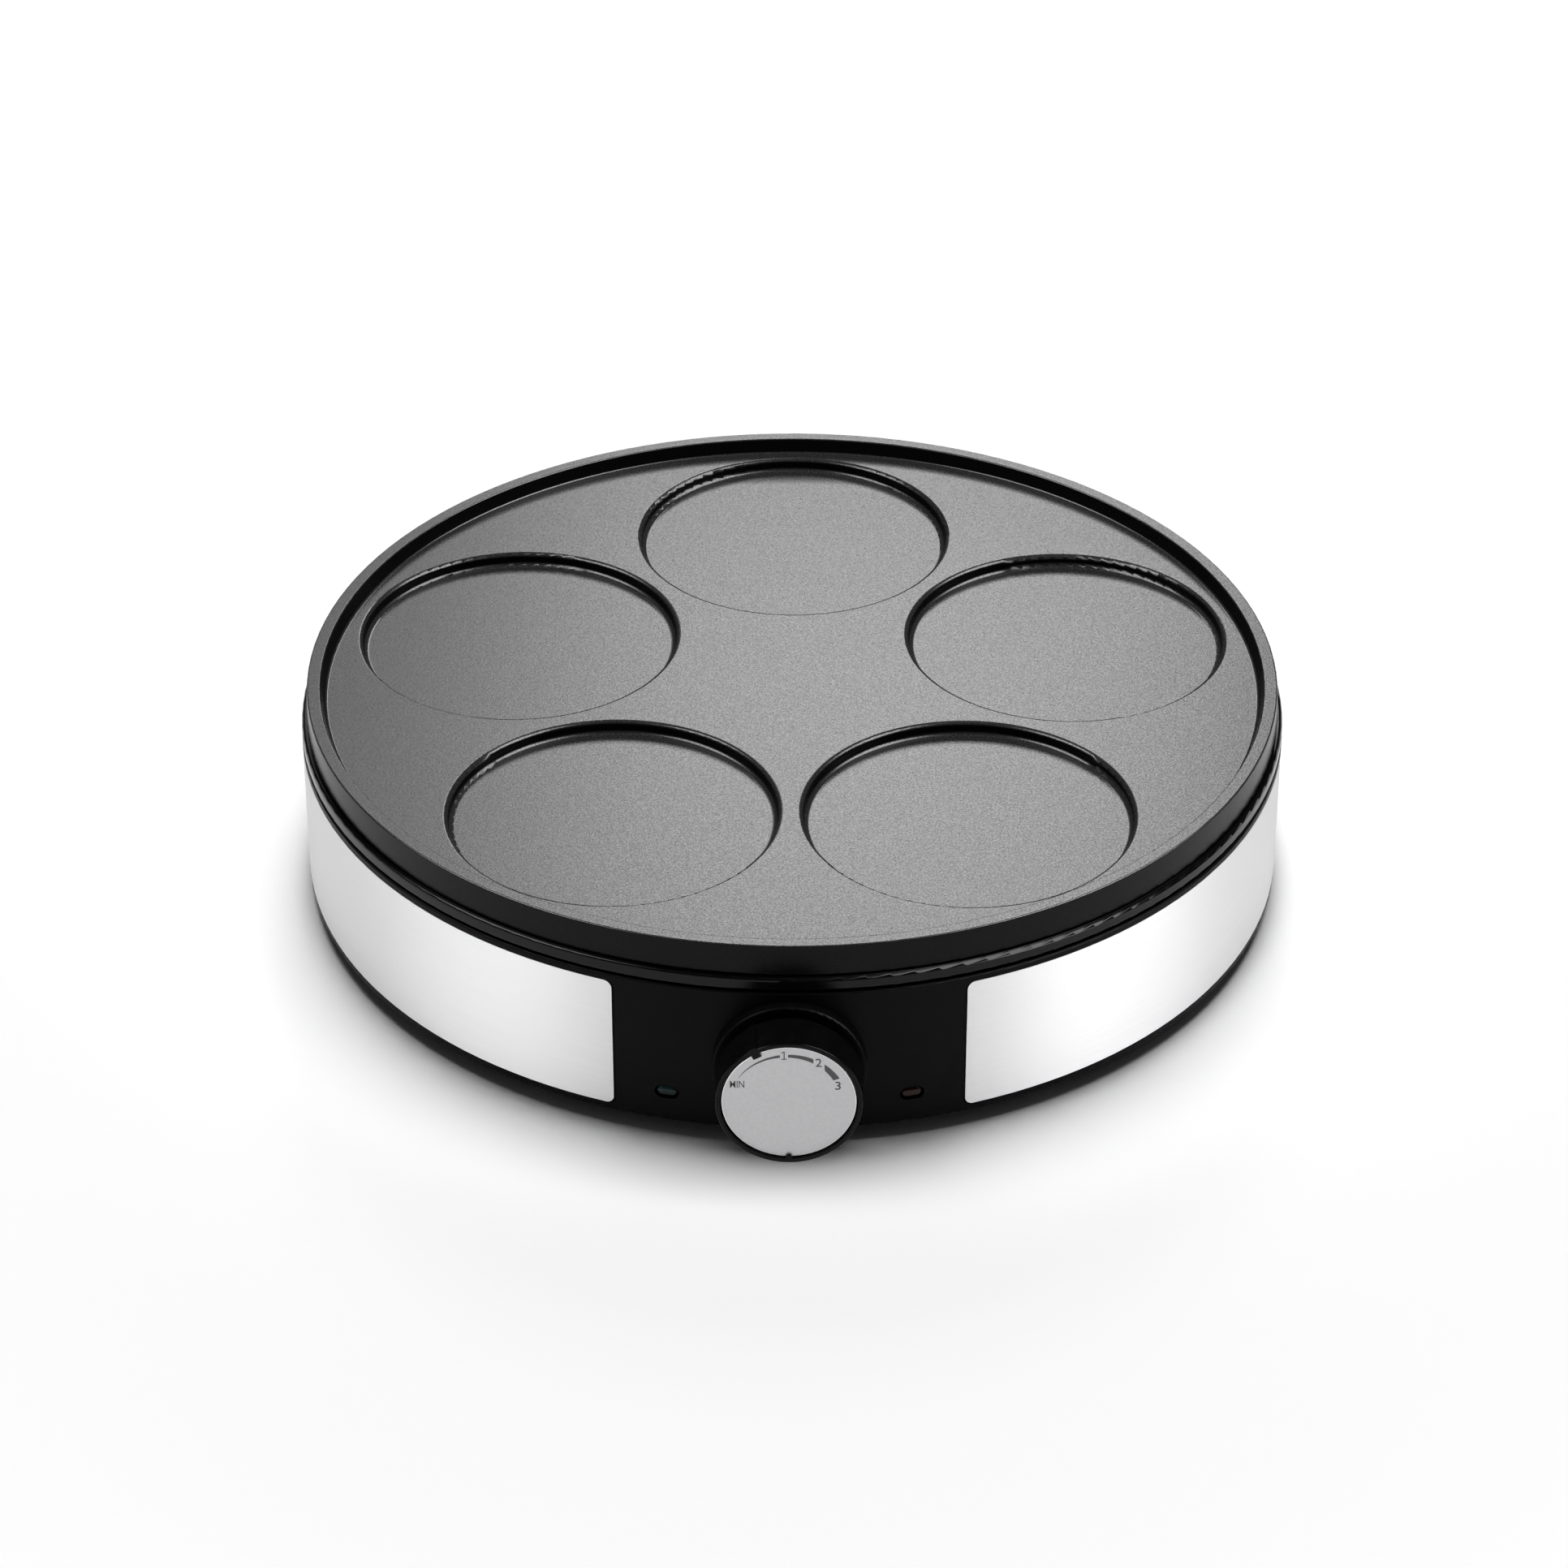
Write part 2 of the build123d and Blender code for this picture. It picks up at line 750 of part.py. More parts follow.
def element_clips():
    clip = saddle_clip(element_tube_radius, element_height - pan_floor, clip_sheet, clip_width)
    place = Pos(element_circle, 0, element_height)
    return group(Rot(0, 0, angle) * place * clip for angle in element_clip_angles)


def sensor_bulb():
    return Pos(0, bulb_y, bulb_height) * Rot(0, 90, 0) * Cylinder(bulb_radius, bulb_length)


def bulb_clips():
    clip = Rot(0, 0, 90) * saddle_clip(bulb_radius, bulb_height - pan_floor, clip_sheet, clip_width)
    xs = (-bulb_clip_spacing / 2, bulb_clip_spacing / 2)
    return group(Pos(x, bulb_y, bulb_height) * clip for x in xs)


def capillary_drop_x():
    return -bulb_length / 2 - capillary_run


def capillary_tube():
    level = knob_axis_height + thermostat_size / 2 - capillary_port_inset
    points = [
        (-bulb_length / 2, bulb_y, bulb_height),
        (capillary_drop_x(), bulb_y, bulb_height),
        (capillary_drop_x(), bulb_y, level),
        (capillary_drop_x(), bulb_y - port_lead, level),
        (0, tab_lead - thermostat_back, level),
        (0, -thermostat_back, level),
    ]
    return wire(points, capillary_radius, tight_bend)


def capillary_grommet():
    inner = capillary_radius + bush_clearance
    neck = capillary_radius + grommet_wall + bush_clearance
    lip = tube(neck + grommet_lip, inner, pan_floor, pan_floor + grommet_lip)
    lip += tube(neck, inner, pan_under - grommet_lip, pan_floor)
    return Pos(capillary_drop_x(), bulb_y, 0) * lip


def thermostat_body():
    body = Pos(0, 0, thermostat_back) * Box(thermostat_size, thermostat_size, thermostat_depth, align=LOW)
    body = fillet(body.edges().filter_by(Axis.Z), thermostat_corner)
    body -= round_bar(shaft_radius + shaft_clearance, shaft_rear - shaft_clearance, thermostat_face)
    return facing(0, knob_axis_height) * body


def tab_points():
    """Centres of the four connector tabs across the thermostat's back."""
    return [(x, y) for y in (tab_offset, -tab_offset) for x in (-tab_offset, tab_offset)]


def thermostat_tabs():
    tab = Pos(0, 0, tab_end) * Box(tab_width, tab_sheet, tab_length, align=LOW)
    front = facing(0, knob_axis_height)
    return group(front * Pos(x, y, 0) * tab for x, y in tab_points())


def thermostat_bush():
    bush = tube(bush_radius, shaft_radius + shaft_clearance, thermostat_face, bush_front)
    return facing(0, knob_axis_height) * bush


def thermostat_washer():
    washer = tube(washer_radius, bush_radius + hole_clearance, collar_face, collar_face + washer_sheet)
    return facing(0, knob_axis_height) * washer


def thermostat_nut():
    low = collar_face + washer_sheet
    nut = hexagon(nut_flats, low, low + nut_height)
    nut -= round_bar(bush_radius + thread_clearance, low, low + nut_height)
    return facing(0, knob_axis_height) * nut


def pointer_turn():
    return Rot(0, 0, pointer_angle)


def shaft_flat_cut(distance, low, high):
    """Block that leaves a flat at a distance from the shaft's axis, on the pointer's side."""
    block = Box(4 * shaft_radius, 2 * shaft_radius, high - low, align=(Align.CENTER, Align.MIN, Align.MIN))
    return pointer_turn() * Pos(0, distance, low) * block


def thermostat_shaft():
    shaft = round_bar(shaft_radius, shaft_rear, shaft_front)
    shaft -= shaft_flat_cut(shaft_flat, knob_rear, shaft_front)
    return facing(0, knob_axis_height) * shaft


def sector(inner, outer, low, high, middle, span):
    """Part of a round tube on Z, its middle at an angle from twelve o'clock."""
    section = Plane.XZ * Pos((inner + outer) / 2, (low + high) / 2) * Rectangle(outer - inner, high - low)
    return Rot(0, 0, 90.0 + middle - span / 2) * revolve(section, Axis.Z, span)


def leg_sectors(low, high, clearance, middle, span):
    """The same sector at the dial carrier's two legs, above and below the axis."""
    inner = leg_inner_radius - clearance
    outer = leg_inner_radius + leg_thickness + clearance
    return [sector(inner, outer, low, high, middle + turn, span) for turn in (0.0, 180.0)]


def pointer_parts():
    """Rib along the knob's side, tooth over the dial and the small nub opposite."""
    rib_reach = knob_rear_radius + pointer_proud
    ring_middle = (dial_radius + dial_gap + knob_front_radius) / 2
    rib = Pos(0, (ring_middle + rib_reach) / 2, knob_rear + knob_edge_round)
    rib *= Box(pointer_width, rib_reach - ring_middle, knob_depth - knob_edge_round, align=LOW)
    tooth_low = dial_face + pointer_gap
    tooth_inner = dial_radius - pointer_reach
    tooth = Pos(0, (tooth_inner + ring_middle) / 2, tooth_low)
    tooth *= Box(pointer_width, ring_middle - tooth_inner, knob_front - tooth_low, align=LOW)
    nub = Pos(0, -dial_radius, 0) * round_bar(nub_radius, tooth_low, knob_front)
    return pointer_turn() * (rib + tooth), nub


def control_knob():
    knob = turned([
        (0, knob_rear),
        (knob_rear_radius, knob_rear),
        (knob_front_radius, knob_front),
        (0, knob_front),
    ])
    knob_edges = circles_at(knob, knob_rear_radius, knob_rear)
    knob_edges += circles_at(knob, knob_front_radius, knob_front)
    knob = fillet(knob_edges, knob_edge_round)
    skirt_low = collar_face + knob_skirt_clearance
    knob += round_bar(knob_skirt_radius, skirt_low, knob_rear + knob_edge_round)
    knob -= round_bar(knob_skirt_radius - knob_skirt_wall, skirt_low, web_back)
    knob -= round_bar(dial_radius + dial_gap, web_front, knob_front)
    knob += round_bar(hub_radius, knob_rear, web_front)
    bore = round_bar(shaft_radius + shaft_clearance, knob_rear, web_front)
    knob -= bore - shaft_flat_cut(hub_flat, knob_rear, web_front)
    slot_span = 2 * (dial_span + leg_margin) + leg_angle
    knob -= leg_sectors(web_back, web_front, leg_clearance, pointer_angle, slot_span)
    pointer, nub = pointer_parts()
    return facing(0, knob_axis_height) * (knob + pointer + nub)


def dial_carrier():
    carrier = round_bar(dial_radius, carrier_back, dial_back)
    carrier += leg_sectors(collar_face - leg_plug, carrier_back, 0.0, 0.0, leg_angle)
    return facing(0, knob_axis_height) * carrier


def dial_disc():
    disc = round_bar(dial_radius, dial_back, dial_face)
    disc = fillet(circles_at(disc, dial_radius, dial_face), dial_edge_round)
    return facing(0, knob_axis_height) * disc


def knob_spring():
    leaf = Pos(0, shaft_flat + spring_gap + spring_sheet / 2, knob_rear)
    leaf *= Box(spring_width, spring_sheet, shaft_front - knob_rear, align=LOW)
    return facing(0, knob_axis_height) * pointer_turn() * leaf


def lens_window():
    """Opening for a lens in the shell's wall, along the lens's own axis."""
    opening = SlotOverall(lens_length + 2 * lens_clearance, lens_height + 2 * lens_clearance)
    return Pos(0, 0, lens_back) * extrude(opening, shell_radius - lens_back + shell_wall)


def lens(angle):
    depth = shell_radius - lens_recess - lens_back
    face = Pos(0, 0, lens_back) * extrude(SlotOverall(lens_length, lens_height), depth)
    crown = face.faces().sort_by(Axis.Z)[-1]
    face = fillet(crown.edges(), lens_edge_round)
    flange_size = SlotOverall(lens_length + 2 * lens_flange, lens_height + 2 * lens_flange)
    flange = Pos(0, 0, lens_back) * extrude(flange_size, lens_flange_sheet)
    return facing(angle, lamp_height) * (face + flange)


def lamp_holders():
    holder = tube(holder_radius, holder_radius - holder_wall, holder_back, lens_back)
    holder += round_bar(holder_radius, holder_back, holder_back + holder_wall)
    return group(facing(angle, lamp_height) * holder for angle in (-lamp_angle, lamp_angle))


def neon_lamps():
    low = holder_back + holder_wall
    neon = round_bar(neon_radius, low, low + neon_length)
    neon = fillet(circles_at(neon, neon_radius, low + neon_length), neon_tip_round)
    return group(facing(angle, lamp_height) * neon for angle in (-lamp_angle, lamp_angle))


def cord_gland():
    gland = round_bar(gland_body_radius, gland_back, gland_pad_face)
    flange = round_bar(gland_flange_radius, gland_pad_face, gland_face)
    gland += fillet(circles_at(flange, gland_flange_radius, gland_face), gland_flange_sheet / 3)
    gland -= round_bar(gland_bore_radius, gland_back, gland_face)
    return facing(180, gland_height) * gland


def gland_nut():
    low = gland_pad_back - gland_nut_height
    nut = hexagon(gland_nut_flats, low, gland_pad_back)
    nut -= round_bar(gland_body_radius + thread_clearance, low, gland_pad_back)
    return facing(180, gland_height) * nut


def port_xs():
    return (-block_pitch, 0.0, block_pitch)


def block_screw_places(height):
    return [Pos(x, block_y, height) for x in (-block_pitch / 2, block_pitch / 2)]


def port_end(x):
    """Where a wire ends inside one port of the terminal block."""
    return (x, block_y - block_width / 2 + port_depth, base_top + port_height)


def terminal_block():
    block = Pos(0, block_y, base_top) * Box(block_length, block_width, block_height, align=LOW)
    port = Rot(90, 0, 0) * round_bar(port_radius, 0, port_depth)
    block -= [Pos(*port_end(x)) * port for x in port_xs()]
    seat = base_top + block_height - terminal_screw_depth
    screw_well = round_bar(terminal_screw_radius + hole_clearance, seat, base_top + block_height)
    block -= [Pos(x, block_y, 0) * screw_well for x in port_xs()]
    screw_hole = round_bar(small_screw_radius + hole_clearance, base_top, base_top + block_height)
    return block - [place * screw_hole for place in block_screw_places(0)]


def terminal_screws():
    seat = base_top + block_height - terminal_screw_depth
    one = round_bar(terminal_screw_radius, seat, base_top + block_height)
    slot = Box(3 * terminal_screw_radius, cross_width, 2 * cross_depth)
    one -= Pos(0, 0, base_top + block_height) * slot
    return group(Pos(x, block_y, 0) * one for x in port_xs())


def block_screws():
    one = screw(small_screw_radius, block_height + base_sheet)
    return group(place * one for place in block_screw_places(base_top + block_height))


def fuse_height():
    return pan_under - fuse_radius - clip_clearance - 2 * strap_sheet


def thermal_fuse():
    lead_total = fuse_length + 2 * fuse_lead_length
    fuse = Cylinder(fuse_radius, fuse_length) + Cylinder(fuse_lead_radius, lead_total)
    return Pos(fuse_x, fuse_y, fuse_height()) * Rot(90, 0, 0) * fuse


def fuse_strap():
    seat_distance = pan_under - fuse_height()
    strap = saddle_clip(fuse_radius, seat_distance, strap_sheet, fuse_length / 2)
    return Pos(fuse_x, fuse_y, fuse_height()) * Rot(0, 180, 0) * strap


def earth_tag():
    tag = round_bar(earth_ring_radius, 0, tab_sheet)
    barrel_start = earth_ring_radius + earth_barrel_radius
    tongue = Pos(0, barrel_start / 2, 0)
    tongue *= Box(2 * earth_barrel_radius, barrel_start + earth_barrel_radius, tab_sheet, align=LOW)
    tag += tongue
    tag -= round_bar(small_screw_radius + hole_clearance, 0, tab_sheet)
    barrel = Pos(0, barrel_start + earth_barrel_length / 2, earth_barrel_radius)
    tag += barrel * Rot(90, 0, 0) * Cylinder(earth_barrel_radius, earth_barrel_length)
    return Pos(earth_x, earth_y, base_top) * tag


def earth_screw():
    return Pos(earth_x, earth_y, base_top + tab_sheet) * screw(small_screw_radius, earth_screw_length)


def tab_tip(index):
    """Outer end of one thermostat tab, where its wire starts."""
    x, y = tab_points()[index]
    return (x, -tab_end, knob_axis_height + y)


def live_wire():
    start = port_end(0.0)
    tip = tab_tip(0)
    points = [
        start,
        (start[0], element_leg_y() - pin_lead, start[2]),
        (-wire_side, live_turn_rear, wire_level),
        (-wire_side, live_turn_front, wire_level),
        (tip[0], tip[1] + tab_lead, tip[2]),
        tip,
    ]
    return wire(points, wire_radius, wire_bend)


def switched_wire():
    tip = tab_tip(1)
    fuse_end = (fuse_x, fuse_y - fuse_length / 2 - fuse_lead_length, fuse_height())
    points = [
        tip,
        (tip[0], tip[1] + tab_lead, tip[2]),
        (fuse_x, switched_turn, tip[2]),
        (fuse_x, fuse_end[1] - fuse_run, fuse_end[2]),
        fuse_end,
    ]
    return wire(points, wire_radius, wire_bend)


def element_pin_end(x):
    return (x, element_leg_y(), element_leg_end() - element_pin_length)


def fuse_wire():
    fuse_end = (fuse_x, fuse_y + fuse_length / 2 + fuse_lead_length, fuse_height())
    pin = element_pin_end(element_leg_xs()[0])
    points = [
        fuse_end,
        (fuse_x, fuse_end[1] + fuse_rear_run, fuse_end[2]),
        (pin[0] + fuse_pin_side, pin[1] - fuse_pin_front, pin[2] - fuse_pin_drop),
        (pin[0], pin[1], pin[2] - fuse_wire_drop),
        pin,
    ]
    return wire(points, wire_radius, tight_bend)


def neutral_wire():
    start = port_end(-block_pitch)
    pin = element_pin_end(element_leg_xs()[1])
    points = [
        start,
        (start[0], pin[1] - pin_lead, start[2]),
        (pin[0], pin[1] - pin_lead, pin[2] - neutral_wire_drop),
        (pin[0], pin[1], pin[2] - neutral_wire_drop),
        pin,
    ]
    return wire(points, wire_radius, tight_bend)


def earth_wire():
    start = port_end(block_pitch)
    barrel_end = earth_y + earth_ring_radius + earth_barrel_radius + earth_barrel_length
    level = base_top + earth_barrel_radius
    points = [
        start,
        (start[0], start[1] - port_lead, start[2]),
        (earth_x - earth_bend_side, barrel_end + earth_bend_run, level),
        (earth_x, barrel_end + earth_run, level),
        (earth_x, barrel_end, level),
    ]
    return wire(points, wire_radius, tight_bend)


def lamp_wire(side, tip):
    """Lead from one lamp's holder to the thermostat, on the side given by its sign."""
    angle = radians(lamp_angle)
    back = (side * holder_back * sin(angle), -holder_back * cos(angle), lamp_height)
    inner = holder_back - lamp_lead
    points = [
        back,
        (side * inner * sin(angle), -inner * cos(angle), lamp_height),
        (side * lamp_wire_side, tip[1] + port_lead, lamp_wire_level),
        (tip[0], tip[1] + tab_lead, tip[2]),
        tip,
    ]
    return wire(points, wire_radius, tight_bend)


def lamp_wires():
    return group([lamp_wire(-1, tab_tip(2)), lamp_wire(1, tab_tip(3))])


nodes = {
    "cooking_plate": cooking_plate(),
    "trim_ring": trim_ring(),
    "ring_screws": ring_screws(),
    "body_shell": body_shell(),
    "left_steel_band": left_steel_band(),
    "right_steel_band": right_steel_band(),
    "base_plate": base_plate(),
    "rubber_feet": rubber_feet(),
    "base_screws": base_screws(),
    "reflector_pan": reflector_pan(),
    "pan_screws": pan_screws(),
    "heating_element": heating_element(),
    "element_terminals": element_terminals(),
    "element_bushes": element_bushes(),
    "element_clips": element_clips(),
    "sensor_bulb": sensor_bulb(),
    "bulb_clips": bulb_clips(),
    "capillary_tube": capillary_tube(),
    "capillary_grommet": capillary_grommet(),
    "thermostat_body": thermostat_body(),
    "thermostat_tabs": thermostat_tabs(),
    "thermostat_bush": thermostat_bush(),
    "thermostat_washer": thermostat_washer(),
    "thermostat_nut": thermostat_nut(),
    "thermostat_shaft": thermostat_shaft(),
    "control_knob": control_knob(),
    "dial_carrier": dial_carrier(),
    "dial_disc": dial_disc(),
    "knob_spring": knob_spring(),
    "green_lens": lens(-lamp_angle),
    "red_lens": lens(lamp_angle),
    "lamp_holders": lamp_holders(),
    "neon_lamps": neon_lamps(),
    "cord_gland": cord_gland(),
    "gland_nut": gland_nut(),
    "terminal_block": terminal_block(),
    "terminal_screws": terminal_screws(),
    "block_screws": block_screws(),
    "thermal_fuse": thermal_fuse(),
    "fuse_strap": fuse_strap(),
    "earth_tag": earth_tag(),
    "earth_screw": earth_screw(),
    "live_wire": live_wire(),
    "switched_wire": switched_wire(),
    "fuse_wire": fuse_wire(),
    "neutral_wire": neutral_wire(),
    "earth_wire": earth_wire(),
    "lamp_wires": lamp_wires(),
}

os.makedirs("parts", exist_ok=True)
for name, shape in nodes.items():
    export_step(shape, f"parts/{name}.step")
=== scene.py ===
import json
import math

import bmesh
import bpy
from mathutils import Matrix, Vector


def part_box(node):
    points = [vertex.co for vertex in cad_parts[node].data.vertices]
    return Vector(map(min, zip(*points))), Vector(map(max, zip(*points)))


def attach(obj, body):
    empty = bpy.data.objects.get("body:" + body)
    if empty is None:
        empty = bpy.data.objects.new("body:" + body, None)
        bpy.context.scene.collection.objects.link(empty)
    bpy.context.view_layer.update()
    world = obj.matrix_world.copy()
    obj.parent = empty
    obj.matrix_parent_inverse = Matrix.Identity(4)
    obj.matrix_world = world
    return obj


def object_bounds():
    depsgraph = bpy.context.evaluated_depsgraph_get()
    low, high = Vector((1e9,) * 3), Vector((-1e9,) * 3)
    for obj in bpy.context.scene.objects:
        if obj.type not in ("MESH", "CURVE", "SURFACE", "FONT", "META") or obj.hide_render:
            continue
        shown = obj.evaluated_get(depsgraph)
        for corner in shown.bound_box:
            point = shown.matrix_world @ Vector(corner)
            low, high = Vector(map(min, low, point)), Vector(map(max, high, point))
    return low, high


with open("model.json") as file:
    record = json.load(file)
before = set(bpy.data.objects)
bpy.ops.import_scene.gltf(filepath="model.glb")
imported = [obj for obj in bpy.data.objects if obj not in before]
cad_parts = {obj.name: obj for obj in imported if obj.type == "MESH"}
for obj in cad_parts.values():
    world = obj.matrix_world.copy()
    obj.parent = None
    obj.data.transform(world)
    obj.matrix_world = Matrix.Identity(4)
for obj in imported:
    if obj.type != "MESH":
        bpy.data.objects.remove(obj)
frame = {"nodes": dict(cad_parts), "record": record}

# Electric griddle for five small round pancakes: finishes, dial print, light and camera.
# Lengths named _MM are millimetres, all others metres.

cad_low, cad_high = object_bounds()
nodes = frame["nodes"]
scene = bpy.context.scene
MM = 0.001

# A Mix node's sockets by number, because their names repeat: the share, then the two ends and the
# result, for values and for colours
SHARE = 0
VALUE_LOW, VALUE_HIGH, VALUE_OUT = 2, 3, 0
COLOUR_LOW, COLOUR_HIGH, COLOUR_OUT = 6, 7, 2

# Part of a noise's range that is spread over a finish's two tones, and how rough the noise is
NOISE_LOW = 0.3
NOISE_HIGH = 0.7
NOISE_ROUGHNESS = 0.55

# Plate's coat: its grain, and the roughness and shine from one end of the grain to the other
COAT_GRAIN_MM = 0.55
COAT_BUMP_MM = 0.02
COAT_TONES = ("#1e1e1f", "#303031")
COAT_ROUGHNESS = (0.2, 0.28)
COAT_SHINE = (0.66, 0.34)
# Turn of the grain's pattern about each axis, in radians
GRAIN_TURN = (0.6, 0.4, 0.2)
# Upward share of a surface's normal where the plate's walls start and end being steep
STEEP_START = 0.55
STEEP_FULL = 0.35
# Painted shade: the colour the plate's steep walls are darkened to
STEEP_PAINTED_SHADE = "#0c0c0c"
STEEP_SHINE = 0.12

# Pattern length for one radian round the body, which draws the brushed lines out
BRUSH_LENGTH = 0.001
# Share of each direction in the lenses' pattern, which makes it ribs along their length
RIB_STRETCH = (0.1, 0.1, 1)
# Turned edge of the dial, from its rim inwards, and the directions that lie in its face
DIAL_EDGE_FULL_MM = 0.25
DIAL_EDGE_END_MM = 0.4
# Painted highlight: the near-white colour the dial's edge is brightened to
DIAL_EDGE_PAINTED_HIGHLIGHT = "#fbfbfb"
DIAL_EDGE_ROUGHNESS = 0.25
DIAL_PLANE = (1, 0, 1)
# Spacing of the earth wire's stripes, and how much they waver
STRIPE_MM = 8.0
STRIPE_WAVER = 0.6

# Camera of the reference view
CAMERA_PLACE = (0.00601, -1.33803, 0.8984)
CAMERA_TARGET = (-0.00225, -0.04068, 0.0523)
CAMERA_LENS_MM = 116.4
SENSOR_MM = 36.0

# Dial print, angles in degrees clockwise from twelve o'clock
SCALE_OUTER_MM = 16.8
SCALE_START = -60.0
SCALE_END = 60.0
SCALE_THIN_MM = 0.08
SCALE_THICK_MM = 1.95
SCALE_STEP = 1.5
# Each stretch of the scale: its outer edge's two angles, then its inner edge's
SCALE_STRETCHES = (
    (-60.0, -8.8, -60.0, -9.3),
    (-0.9, 24.5, -1.0, 27.0),
    (37.0, 59.5, 42.5, 58.5),
)
# Each mark: its text, middle across and up from the dial's centre, width and height
MARKS_MM = (
    ("MIN", -14.84, 6.3, 4.14, 2.46),
    ("2", 8.46, 14.0, 1.75, 2.88),
    ("3", 14.0, 5.9, 1.66, 2.88),
)
# In the text's own units: how much bolder a mark is made, and its thickness before it gets the
# ink's, which tells its front from its back
MARK_BOLDER = 0.008
TEXT_EXTRUDE = 0.05
# The figure 1 with its flag and foot: middle across and up, then its outline about that
ONE_MIDDLE_MM = (-1.41, 16.5)
ONE_OUTLINE_MM = (
    (-0.78, -1.44), (0.78, -1.44), (0.78, -1.13), (0.19, -1.13), (0.19, 1.44), (-0.1, 1.44),
    (-0.76, 0.97), (-0.76, 0.62), (-0.14, 1.03), (-0.14, -1.13), (-0.78, -1.13),
)
# Ink above the dial's face, and sunk into it
PRINT_PROUD_MM = 0.03
PRINT_SUNK_MM = 0.03
# Points of the print this close become one
MERGE_MM = 0.001
# Nodes that stand out in front of the body
KNOB_NODES = ("control_knob", "dial_disc", "dial_carrier", "knob_spring", "thermostat_shaft")

# Floor: half its width, how far from the middle it starts and ends turning white, and how white
FLOOR_HALF = 40.0
GLOW_START = 0.22
GLOW_FULL = 1.4
GLOW = 1.0
# Even light from all round
WORLD_FILL = 0.05


def linear(hex_colour):
    """Linear RGBA of an sRGB hex colour."""
    channels = [int(hex_colour[i:i + 2], 16) / 255 for i in (1, 3, 5)]
    spread = [c / 12.92 if c <= 0.04045 else ((c + 0.055) / 1.055) ** 2.4 for c in channels]
    return (*spread, 1.0)


def add(tree, kind, inputs=None, **settings):
    """Adds a node: settings are its properties, inputs its sockets' values or what feeds them."""
    made = tree.nodes.new(kind)
    for name, value in settings.items():
        setattr(made, name, value)
    for name, value in (inputs or {}).items():
        if isinstance(value, bpy.types.NodeSocket):
            tree.links.new(value, made.inputs[name])
        else:
            made.inputs[name].default_value = value
    return made


def start_finish(name, **sockets):
    """A material with one Principled shader, and a node for the piece's own coordinates.
    Sockets are set by name, with _ for a space."""
    material = bpy.data.materials.new(name)
    material.use_nodes = True
    tree = material.node_tree
    shader = tree.nodes["Principled BSDF"]
    for socket, value in sockets.items():
        shader.inputs[socket.replace("_", " ")].default_value = value
    place = add(tree, "ShaderNodeTexCoord")
    return material, tree, shader, place


def mottle(tree, shader, vector, size_mm, colours, roughness, bump_mm, detail=2.0):
    """Noise of one real size that varies colour and roughness and lifts the surface a little."""
    noise = add(tree, "ShaderNodeTexNoise", {
        "Vector": vector,
        "Scale": 1 / (size_mm * MM),
        "Detail": detail,
        "Roughness": NOISE_ROUGHNESS,
    })
    spread = add(tree, "ShaderNodeMapRange", {
        "Value": noise.outputs["Fac"],
        "From Min": NOISE_LOW,
        "From Max": NOISE_HIGH,
    })
    colour = add(tree, "ShaderNodeMix", {
        SHARE: spread.outputs["Result"],
        COLOUR_LOW: linear(colours[0]),
        COLOUR_HIGH: linear(colours[1]),
    }, data_type="RGBA")
    tree.links.new(colour.outputs[COLOUR_OUT], shader.inputs["Base Color"])
    rough = add(tree, "ShaderNodeMapRange", {
        "Value": noise.outputs["Fac"],
        "From Min": NOISE_LOW,
        "From Max": NOISE_HIGH,
        "To Min": roughness[0],
        "To Max": roughness[1],
    })
    tree.links.new(rough.outputs["Result"], shader.inputs["Roughness"])
    bump = add(tree, "ShaderNodeBump", {
        "Height": noise.outputs["Fac"],
        "Distance": bump_mm * MM,
        "Strength": 1.0,
    })
    tree.links.new(bump.outputs["Normal"], shader.inputs["Normal"])
    return colour.outputs[COLOUR_OUT], rough.outputs["Result"]


def nonstick_coat():
    # Sprayed non-stick coat on cast aluminium: near black and satin, with a fine grain that sparkles
    # in the sheen. The grain is drawn coarser than the real one, so that it shows.
    material, tree, shader, place = start_finish("nonstick_coat_on_cast_aluminium", IOR=1.5)
    # Turned, so that no flat face lies along the noise's own grid, where it fades.
    grain = add(tree, "ShaderNodeMapping", {
        "Vector": place.outputs["Object"],
        "Rotation": GRAIN_TURN,
    }).outputs["Vector"]
    colour, rough = mottle(tree, shader, grain, COAT_GRAIN_MM, COAT_TONES, COAT_ROUGHNESS, COAT_BUMP_MM)
    sparkle = add(tree, "ShaderNodeMapRange", {
        "Value": rough,
        "From Min": COAT_ROUGHNESS[0],
        "From Max": COAT_ROUGHNESS[1],
        "To Min": COAT_SHINE[0],
        "To Max": COAT_SHINE[1],
    }).outputs["Result"]
    # On the skirt and the steep walls the coat is painted darker, as shade, and shines less.
    facing = add(tree, "ShaderNodeSeparateXYZ", {"Vector": place.outputs["Normal"]})
    steep_shade_mask = add(tree, "ShaderNodeMapRange", {
        "Value": facing.outputs["Z"],
        "From Min": STEEP_START,
        "From Max": STEEP_FULL,
    }).outputs["Result"]
    # Painted shade: the coat's colour turns dark on steep faces
    tone_with_painted_light = add(tree, "ShaderNodeMix", {
        SHARE: steep_shade_mask,
        COLOUR_LOW: colour,
        COLOUR_HIGH: linear(STEEP_PAINTED_SHADE),
    }, data_type="RGBA")
    tree.links.new(tone_with_painted_light.outputs[COLOUR_OUT], shader.inputs["Base Color"])
    shine = add(tree, "ShaderNodeMix", {SHARE: steep_shade_mask, VALUE_LOW: sparkle, VALUE_HIGH: STEEP_SHINE})
    tree.links.new(shine.outputs[VALUE_OUT], shader.inputs["Specular IOR Level"])
    return material


